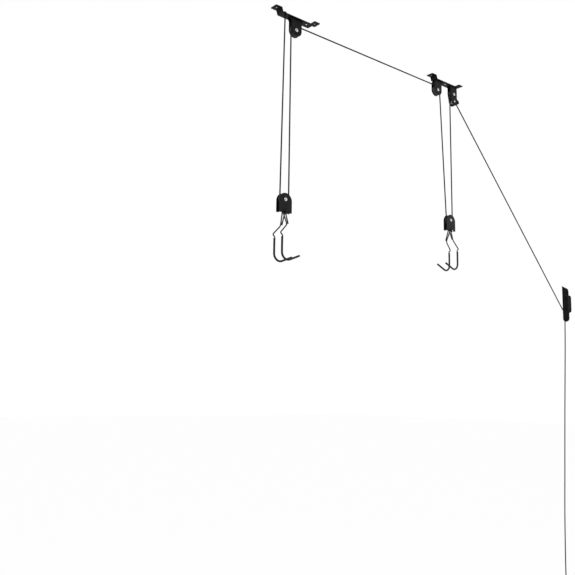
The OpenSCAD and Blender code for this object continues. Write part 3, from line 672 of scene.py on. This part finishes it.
class BIKEMOUNT_OT_stage(bpy.types.Operator):
    """Makes the pale floor, the white surroundings and the soft lamps"""
    bl_idname = "bike_mount.stage"
    bl_label = "Stage"

    def execute(self, context):
        s = settings("stage")
        self.floor(s.floor_depth)
        self.surroundings(context, s.sky)
        self.lamp(context, "Key", KEY_PLACE, KEY_SIZE, s.key)
        self.lamp(context, "Fill", FILL_PLACE, FILL_SIZE, s.fill)
        return {"FINISHED"}

    def floor(self, depth):
        """A floor whose own shading, with the object's shadow, is mixed with an even white glow."""
        pale = Finish("Pale floor")
        pale.set(Base_Color=FLOOR_COLOUR, Roughness=0.8, Specular_IOR_Level=0.1)
        path = pale.tree.nodes.new("ShaderNodeLightPath")
        glow = pale.tree.nodes.new("ShaderNodeEmission")
        glow.inputs["Strength"].default_value = 1.0
        mix = pale.tree.nodes.new("ShaderNodeMixShader")
        factor = Value(pale.tree, path.outputs["Is Camera Ray"]) * FLOOR_GLOW
        pale.tree.links.new(factor.socket, mix.inputs[0])
        pale.tree.links.new(pale.shader.outputs[0], mix.inputs[1])
        pale.tree.links.new(glow.outputs[0], mix.inputs[2])
        pale.tree.links.new(mix.outputs[0], pale.tree.nodes["Material Output"].inputs[0])
        corners = np.array([(-1, -1, 0), (1, -1, 0), (1, 1, 0), (-1, 1, 0)]) * FLOOR_REACH
        piece = put_mesh("Floor", corners - [0, 0, depth], [(0, 1, 2, 3)])
        piece.data.materials.append(pale.material)

    def surroundings(self, context, strength):
        """Soft light from all round, which the camera sees as plain white."""
        world = bpy.data.worlds.new("Surroundings")
        context.scene.world = world
        world.use_nodes = True
        tree = world.node_tree
        soft = tree.nodes["Background"]
        soft.inputs["Color"].default_value = WHITE
        soft.inputs["Strength"].default_value = strength
        white = tree.nodes.new("ShaderNodeBackground")
        white.inputs["Color"].default_value = WHITE
        white.inputs["Strength"].default_value = 1.0
        rays = tree.nodes.new("ShaderNodeLightPath")
        seen = Value(tree, rays.outputs["Is Camera Ray"]) + Value(tree, rays.outputs["Is Transmission Ray"])
        mix = tree.nodes.new("ShaderNodeMixShader")
        tree.links.new(seen.clamped().socket, mix.inputs[0])
        tree.links.new(soft.outputs[0], mix.inputs[1])
        tree.links.new(white.outputs[0], mix.inputs[2])
        tree.links.new(mix.outputs[0], tree.nodes["World Output"].inputs[0])

    def lamp(self, context, name, place, size, power):
        lamp = bpy.data.lights.new(name, "AREA")
        lamp.size = size
        lamp.energy = power
        holder = bpy.data.objects.new(name, lamp)
        away = unit(np.array(place) - np.array(LIT_POINT))
        side = unit(np.cross([0.0, 0.0, 1.0], away))
        turn = Matrix((side, np.cross(away, side), away)).transposed()
        holder.matrix_world = Matrix.Translation(place) @ turn.to_4x4()
        context.scene.collection.objects.link(holder)


# Rope. The routes are in millimetres from the cleat's back, at the height of its screws' middle

CLEAT_ROUTE = [
    (-34, 18.4, -20), (-30, 18.5, -24.2), (-25, 18.2, -28.6), (-20, 16.4, -32), (-16, 12.4, -34.6),
    (-13.5, 7, -35.8), (-12, 0, -35.8), (-11.5, -6.9, -33), (-11, -9.8, -26), (-11, -9.8, -10),
    (-11.5, -9.8, 10), (-12, -9.8, 26), (-12.5, -6.9, 33), (-13, 0, 35.8), (-13.8, 6.9, 33),
    (-15, 9.8, 26), (-16.5, 9.8, 8), (-19, 10, -10), (-21.5, 10.3, -26), (-23, 10.5, -42), (-23, 10.5, -60),
]
TAIL_ROUTE = [
    (-23, 10.5, -60), (-23, 11, -90), (-24, 14, -200), (-26, 19, -340), (-28, 25, -500),
    (-29, 31, -660), (-30, 36, -800), (-32, 41, -950), (-33, 44, -1080), (-33, 46, -1190),
    (-33, 46.5, -1260), (-33, 46.5, -1288),
]
CLEAT_STEPS = 5
TAIL_STEPS = 3
TAIL_SIDES = 12

COIL_LAYERS = 4
COIL_TURNS = 6
COIL_INNER = 12.0
COIL_PITCH = 5.7
COIL_STEPS = 24
COIL_CLIMB = 0.5
COIL_LEAD = 5.0

WRAP_STEPS = 32
RUN_STEPS = 20
LEAD_STEPS = 36
GUIDE_STEPS = 10

KNOT_SCALE = 3.0
KNOT_START = 0.30
KNOT_STOP = 0.16
KNOT_POINTS = 90
KNOT_KEPT = 3
KNOT_STEPS = 4
KNOT_LIFT = 7.8
KNOT_FOOT = 1.6
KNOT_EXIT = (0.3, -1.5, 0.0)
KNOT_END_WAY = (-0.5, -0.8, -0.1)
KNOT_END_RUNS = (1.5, 3.2, 5.0)


def cleat_origin():
    low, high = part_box("wall_cleat")
    for mount in frame["record"]["mounts"]:
        if mount["name"] == "cleat_screws":
            return np.array([high[0], 0.0, mount["pos_m"][2]])
    raise ValueError("no cleat_screws mount")


def coil_path():
    """Loops about x, with radius = inner + pitch |turns - (t mod 2 turns)|. A layer is climbed round
    each turning point."""
    t = np.arange(COIL_LAYERS * COIL_TURNS * COIL_STEPS + 1) / COIL_STEPS
    radius = COIL_INNER + COIL_PITCH * np.abs(COIL_TURNS - t % (2 * COIL_TURNS))
    climbs = [(t - k * COIL_TURNS + COIL_CLIMB / 2) / COIL_CLIMB for k in range(1, COIL_LAYERS)]
    layer = sum(np.clip(c, 0, 1) for c in climbs)
    outer = COIL_INNER + COIL_PITCH * COIL_TURNS
    middle = np.array(TAIL_ROUTE[-1], float) - np.array([0, outer, COIL_LEAD])
    angle = -2 * math.pi * t
    loops = np.stack([COIL_PITCH * layer, radius * np.cos(angle), radius * np.sin(angle)], axis=1)
    loops = middle + loops
    return np.concatenate([loops, loops[-1:] - [[0, 0, COIL_LEAD]]])


class BIKEMOUNT_OT_tail(bpy.types.Operator):
    """Makes the rope's free tail below the cleat with its spare coil, and the band round the coil"""
    bl_idname = "bike_mount.tail"
    bl_label = "Rope tail"

    def execute(self, context):
        s = settings("rope")
        route = np.concatenate([smooth(TAIL_ROUTE, TAIL_STEPS), coil_path()])
        path = cleat_origin() + route * MM
        piece = sweep("rope_tail_braided", path, s.diameter / 2, TAIL_SIDES)
        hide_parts("rope_tail", "rope_coil")
        carry(piece, "frame", finish("rope"))
        tie = soft_edges("coil_tie", 0.4 * MM, finish("rubber"))
        carry(tie, "frame")
        return {"FINISHED"}


class BIKEMOUNT_OT_held_rope(bpy.types.Operator):
    """Makes the rope that the brackets, blocks and cleat hold: run, lead, falls, wraps and knot"""
    bl_idname = "bike_mount.held_rope"
    bl_label = "Held rope"

    def execute(self, context):
        s = settings("rope")
        low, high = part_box("bracket_a_sheave")
        wrap = (high[0] - low[0]) / 2 - s.seat
        a = flat(joint_at("sheave_a_spin"))
        left = flat(joint_at("sheave_b_left_spin"))
        right = flat(joint_at("sheave_b_right_spin"))
        block = {"a": flat(joint_at("block_a_wheel_spin")), "b": flat(joint_at("block_b_wheel_spin"))}
        tie = np.array([s.tie_x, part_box("bracket_a_strip")[0][2]])
        falls = (
            ("fall_a_tied", tie, 0.0, "a", -wrap), ("fall_a_free", a, -wrap, "a", wrap),
            ("fall_b_left", left, wrap, "b", -wrap), ("fall_b_right", right, -wrap, "b", wrap),
        )
        turn = {}
        for name, top, st, which, sb in falls:
            turn[name] = side_angle(top, block[which], st - sb)
            self.fall(name, line_ends(top, st, block[which], sb), "block_" + which)
        pairs = (("a", "fall_a_tied", "fall_a_free"), ("b", "fall_b_left", "fall_b_right"))
        for which, first, second in pairs:
            under = arc(block[which], wrap, 180 + turn[first], 360 + turn[second], WRAP_STEPS)
            self.stretch(upright(under), "block_" + which, "block_" + which + "_rope")
        over_a = arc(a, wrap, 180 + turn["fall_a_free"], 90, RUN_STEPS)
        over_left = arc(left, wrap, 90, turn["fall_b_left"], RUN_STEPS)
        self.stretch(upright(np.concatenate([over_a, over_left])), "frame", "rope_run")
        guide = flat(centre("lock_guide_pin"))
        guide_wrap = guide[0] - right[0] - wrap
        cleat = cleat_origin() + smooth(CLEAT_ROUTE, CLEAT_STEPS) * MM
        bend = 180 + side_angle(guide, flat(cleat[0]), -guide_wrap)
        over_right = arc(right, wrap, 180 + turn["fall_b_right"], 0, LEAD_STEPS)
        round_guide = arc(guide, guide_wrap, 180, bend, GUIDE_STEPS)
        lead = np.concatenate([upright(over_right), upright(round_guide), cleat])
        self.stretch(lead, "frame", "rope_lead", "rope_cleat_turn")
        self.stretch(self.knot(tie), "frame", "rope_end_knot")
        return {"FINISHED"}

    def stretch(self, path, body, *nodes):
        """A stretch of rope that takes the place of the nodes named. Its name comes from the first."""
        s = settings("rope")
        piece = sweep(nodes[0] + "_braided", path, s.diameter / 2, s.sides)
        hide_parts(*nodes)
        carry(piece, body, finish("rope"))

    def fall(self, name, ends, body):
        """A straight stretch between a bracket and a block, set once at rest; it is not made to lengthen
        with the block's travel.
        """
        s = settings("rope")
        start, stop = upright(np.array(ends))
        piece = sweep(name + "_braided", [start, stop], s.diameter / 2, s.sides)
        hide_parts(name)
        piece.data.materials.append(finish("rope"))
        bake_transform(piece)

    def knot(self, tie):
        """A simple overhand knot, cut open in one lobe: x = sin t + 2 sin 2t, y = cos t - 2 cos 2t and
        z = -sin 3t."""
        t = np.linspace(KNOT_START, 2 * math.pi - KNOT_STOP, KNOT_POINTS)
        x = np.sin(t) + 2 * np.sin(2 * t)
        y = np.cos(t) - 2 * np.cos(2 * t)
        loop = KNOT_SCALE * MM * np.stack([x, y, -np.sin(3 * t)], axis=1)
        start = np.array([tie[0], 0.0, tie[1]])
        loop = loop + start + np.array([-loop[0][0], -loop[0][1], KNOT_LIFT * MM])
        out = unit(np.array(KNOT_END_WAY))
        end = loop[-1] + np.array(KNOT_EXIT) * MM + out * np.array(KNOT_END_RUNS)[:, None] * MM
        foot = np.array([start, start + [0, 0, KNOT_FOOT * MM]])
        return smooth(np.concatenate([foot, loop[KNOT_KEPT::KNOT_KEPT], end]), KNOT_STEPS)


# Hooks. Their lines are in millimetres from the block's axle, and a share is one of the spread

HINGE = -31.05
EYE_MIDDLE = -36.3
EYE_RADIUS = 5.25
EYE_SIDE = 2.6
EYE_FOOT = -45.0
ELBOW_SHARE = 0.83
ELBOW_DROP = 55.0
WIRE_START = (5.0, -0.75, 3.0)
JOG_X = -29.92
JOG_SHARE = 0.975
JOG_DROP = 87.12
KINK_X = -20.02
KINK_DROP = 94.05
SLEEVE_X = -22.0
SLEEVE_DROP = 99.0
SLEEVE_STRAIGHT = 50.0
SLEEVE_TIP = 43.0
WIRE_IN_SLEEVE = 3.0
CORNER_REACH = 7.0
CORNER_STEPS = 8
BEND_POINTS = 26
EYE_POINTS = 25
WIRE_SIDES = 20
SLEEVE_SIDES = 28
LIP_RUNS = (0.0, 0.25, 0.7, 1.4, 2.2, 3.2, 4.4)
LIP_SHARES = (0.80, 1.02, 1.12, 1.15, 1.10, 1.03, 1.0)

BEAD_RADII = (2.6, 1.7, 3.6)
BEAD_PLACE = (2.4, 15.0, -79.5)
BEAD_LEAN = math.atan2(14.4, 41.0)
BEAD_SIDES = 24
BEAD_RINGS = 13
BEAD_POLE = 0.06
BEAD_RIPPLE = 0.05
BEAD_RIPPLES = 7


def hook_lines():
    """Lines of the +X, +Y hook: the bare wire, and the sleeved part."""
    s = settings("hook")
    spread, bend, tip = s.spread / MM, s.bend / MM, s.tip_angle
    elbow = np.array([0.0, spread * ELBOW_SHARE, HINGE - ELBOW_DROP])
    jog = np.array([JOG_X, spread * JOG_SHARE, HINGE - JOG_DROP])
    kink = np.array([KINK_X, spread, HINGE - KINK_DROP])
    top = np.array([SLEEVE_X, spread, HINGE - SLEEVE_DROP])
    foot = top - [0, 0, SLEEVE_STRAIGHT]
    middle = foot + [bend, 0, 0]
    a = np.radians(np.linspace(0, 90 + math.degrees(tip), BEND_POINTS))
    turn = middle + np.stack([-bend * np.cos(a), 0 * a, -bend * np.sin(a)], axis=1)
    end = turn[-1] + SLEEVE_TIP * np.array([math.cos(tip), 0, math.sin(tip)])
    b = np.radians(np.linspace(0, 180, EYE_POINTS))
    ring = np.stack([EYE_RADIUS * np.cos(b), EYE_SIDE + 0 * b, EYE_MIDDLE + EYE_RADIUS * np.sin(b)], axis=1)
    start = [elbow + WIRE_START, [EYE_RADIUS, EYE_SIDE, EYE_FOOT]]
    rest = [[-EYE_RADIUS, EYE_SIDE, EYE_FOOT], elbow, jog, kink, top - [0, 0, WIRE_IN_SLEEVE]]
    upper = eased(np.concatenate([start, ring, rest]), CORNER_REACH, CORNER_STEPS)
    lower = np.concatenate([[top], [foot + [0, 0, 1.0]], turn[1:], [end]])
    return upper, lower


class BIKEMOUNT_OT_hooks(bpy.types.Operator):
    """Makes the four hooks: coated wire with a closed eye, and a dipped vinyl sleeve"""
    bl_idname = "bike_mount.hooks"
    bl_label = "Hooks"

    def execute(self, context):
        s = settings("hook")
        upper, lower = hook_lines()
        for which, along in (("a", 1.0), ("b", -1.0)):
            axle = joint_at("block_" + which + "_wheel_spin")
            for side, across in (("near", -1.0), ("far", 1.0)):
                flip = np.array([along, across, 1.0])
                body = "hook_" + which + "_" + side
                wire = sweep(body + "_wire_drawn", axle + upper * flip * MM, s.wire / 2, WIRE_SIDES)
                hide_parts(body + "_wire")
                carry(wire, body, finish("wire"))
                self.weld(body, axle, flip)
                self.sleeve(body, axle + lower * flip * MM)
        return {"FINISHED"}

    def weld(self, body, axle, flip):
        """A flat weld bead between the eye's end and the wire: an ellipsoid with a rippled skin."""
        turn = np.linspace(0, 2 * math.pi, BEAD_SIDES + 1)[:-1]
        rise = np.linspace(BEAD_POLE, math.pi - BEAD_POLE, BEAD_RINGS)
        u, v = np.meshgrid(turn, rise, indexing="ij")
        ball = np.stack([np.sin(v) * np.cos(u), np.sin(v) * np.sin(u), np.cos(v)], axis=2)
        skin = np.array(BEAD_RADII) * ball * (1 + BEAD_RIPPLE * np.sin(BEAD_RIPPLES * v))[..., None]
        y = skin[..., 1] * math.cos(BEAD_LEAN) - skin[..., 2] * math.sin(BEAD_LEAN)
        z = skin[..., 1] * math.sin(BEAD_LEAN) + skin[..., 2] * math.cos(BEAD_LEAN)
        points = (np.stack([skin[..., 0], y, z], axis=2) + BEAD_PLACE).reshape(-1, 3)
        n = BEAD_RINGS
        i, k = cells(BEAD_SIDES, n - 1)
        j = (i + 1) % BEAD_SIDES
        faces = np.stack([i * n + k, j * n + k, j * n + k + 1, i * n + k + 1], axis=1).tolist()
        first = np.arange(BEAD_SIDES) * n
        caps = [first.tolist(), (first + n - 1).tolist()]
        piece = outward(put_mesh(body + "_weld", axle + points * flip * MM, faces + caps))
        carry(piece, body, finish("wire"))

    def sleeve(self, body, path):
        """A plain tube with a rolled lip over its first millimetres and a round closed tip."""
        r = settings("hook").sleeve / 2
        down = unit(path[1] - path[0])
        lip = np.array(LIP_RUNS)[:, None] * MM
        path = np.concatenate([path[0] + lip * down, path[1:]])
        radius = np.concatenate([np.array(LIP_SHARES) * r, np.full(len(path) - len(lip), r)])
        piece = sweep(body + "_sleeve_dipped", path, radius, SLEEVE_SIDES, round_tip=True)
        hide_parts(body + "_sleeve")
        carry(piece, body, finish("vinyl"))


# Steel, axles and sheaves. The rim's and pit's shares are of the head's radius and height

FRAME_STEEL = (
    "bracket_a_strip", "bracket_a_housing", "bracket_a_rivets", "bracket_b_strip", "bracket_b_left_housing",
    "bracket_b_lock_housing", "bracket_b_rivets", "lock_guide_pin", "wall_cleat",
)
PIN_EDGE = 0.0003
AXLE_SIDES = 64
DOME_POINTS = 12
DOME_SHARE = 0.93
DOME_INNER_SHARE = 0.30
RIM_SHARES = ((1.0, 0.0), (1.005, 0.17))
PIT_SHARES = ((0.24, 0.90), (0.18, 0.72), (0.0, 0.66))


class BIKEMOUNT_OT_steel(bpy.types.Operator):
    """Finishes the strips, housings, block cheeks, rivets, guide pin and wall cleat"""
    bl_idname = "bike_mount.steel"
    bl_label = "Pressed steel"

    def execute(self, context):
        nodes = [(node, "frame") for node in FRAME_STEEL]
        for block in ("block_a", "block_b"):
            nodes += [(block + "_near_cheek", block), (block + "_far_cheek", block)]
        for node, body in nodes:
            carry(soft_edges(node, settings("steel").edge, finish("paint")), body)
        return {"FINISHED"}


class BIKEMOUNT_OT_axles(bpy.types.Operator):
    """Makes the zinc axles with their domed heads, the jam roller and the painted hook pins"""
    bl_idname = "bike_mount.axles"
    bl_label = "Axles and pins"

    def execute(self, context):
        axles = (("bracket_a_axle", "frame"), ("bracket_b_left_axle", "frame"),
                 ("bracket_b_right_axle", "frame"), ("block_a_axle", "block_a"), ("block_b_axle", "block_b"))
        for node, body in axles:
            piece = self.axle(node)
            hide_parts(node)
            carry(piece, body, finish("zinc"))
        carry(soft_edges("lock_roller", PIN_EDGE, finish("zinc")), "jam_roller")
        for block in ("block_a", "block_b"):
            carry(soft_edges(block + "_hook_pin", PIN_EDGE, finish("paint")), block)
        return {"FINISHED"}

    def axle(self, node):
        """Revolved about y: a shank with a domed head at each end, a rolled rim and a small pit.

        The dome's height beyond the cheek is that of the head times sqrt(1 - (share r / radius)^2).
        """
        s = settings("steel")
        low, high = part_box(node)
        out = (high[1] - low[1]) / 2 - s.head_height
        size = np.array([s.head_radius, s.head_height])
        share = np.linspace(1.0, DOME_INNER_SHARE, DOME_POINTS)
        dome = np.stack([share, np.sqrt(1 - (share * DOME_SHARE) ** 2)], axis=1)
        profile = np.concatenate([RIM_SHARES, dome, PIT_SHARES]) * size
        head = np.concatenate([[[s.shank_radius, 0.0]], profile]) + [0, out]
        points, quads = revolve_y(np.concatenate([(head * [1, -1])[::-1], head]), centre(node), AXLE_SIDES)
        return outward(put_mesh(node + "_turned", points, quads.tolist()))


class BIKEMOUNT_OT_sheaves(bpy.types.Operator):
    """Finishes the five sheaves"""
    bl_idname = "bike_mount.sheaves"
    bl_label = "Sheaves"

    def execute(self, context):
        edge = settings("sheave").edge
        sheaves = (("bracket_a_sheave", "sheave_a"), ("bracket_b_left_sheave", "sheave_b_left"),
                   ("bracket_b_right_sheave", "sheave_b_right"), ("block_a_sheave", "block_a_wheel"),
                   ("block_b_sheave", "block_b_wheel"))
        for node, body in sheaves:
            carry(soft_edges(node, edge, finish("nylon")), body)
        return {"FINISHED"}


class BIKEMOUNT_PT_panel(bpy.types.Panel):
    """Lists the steps that dress the bike mount"""
    bl_idname = "BIKEMOUNT_PT_panel"
    bl_label = "Bike Mount"
    bl_space_type = "VIEW_3D"
    bl_region_type = "UI"
    bl_category = "Bike Mount"

    def draw(self, context):
        for step in STEPS:
            self.layout.operator(step)
        for name in SETTINGS:
            box = self.layout.box()
            box.label(text=name.capitalize())
            group = settings(name)
            for key in type(group).__annotations__:
                box.prop(group, key)


STEPS = (
    "bike_mount.camera", "bike_mount.tail", "bike_mount.held_rope", "bike_mount.hooks",
    "bike_mount.steel", "bike_mount.axles", "bike_mount.sheaves", "bike_mount.stage",
)
SETTINGS = {
    "rope": RopeSettings, "hook": HookSettings, "steel": SteelSettings,
    "sheave": SheaveSettings, "stage": StageSettings,
}
CLASSES = (
    *SETTINGS.values(), BIKEMOUNT_OT_camera, BIKEMOUNT_OT_tail, BIKEMOUNT_OT_held_rope,
    BIKEMOUNT_OT_hooks, BIKEMOUNT_OT_steel, BIKEMOUNT_OT_axles, BIKEMOUNT_OT_sheaves,
    BIKEMOUNT_OT_stage, BIKEMOUNT_PT_panel,
)


def register():
    for cls in CLASSES:
        bpy.utils.register_class(cls)
    for name, group in SETTINGS.items():
        setattr(bpy.types.Scene, "bike_mount_" + name, PointerProperty(type=group))


def unregister():
    for name in SETTINGS:
        delattr(bpy.types.Scene, "bike_mount_" + name)
    for cls in reversed(CLASSES):
        bpy.utils.unregister_class(cls)


def main():
    register()
    bpy.ops.bike_mount.camera()
    bpy.ops.bike_mount.tail()
    bpy.ops.bike_mount.held_rope()
    bpy.ops.bike_mount.hooks()
    bpy.ops.bike_mount.steel()
    bpy.ops.bike_mount.axles()
    bpy.ops.bike_mount.sheaves()
    bpy.ops.bike_mount.stage()


if __name__ == "__main__":
    main()
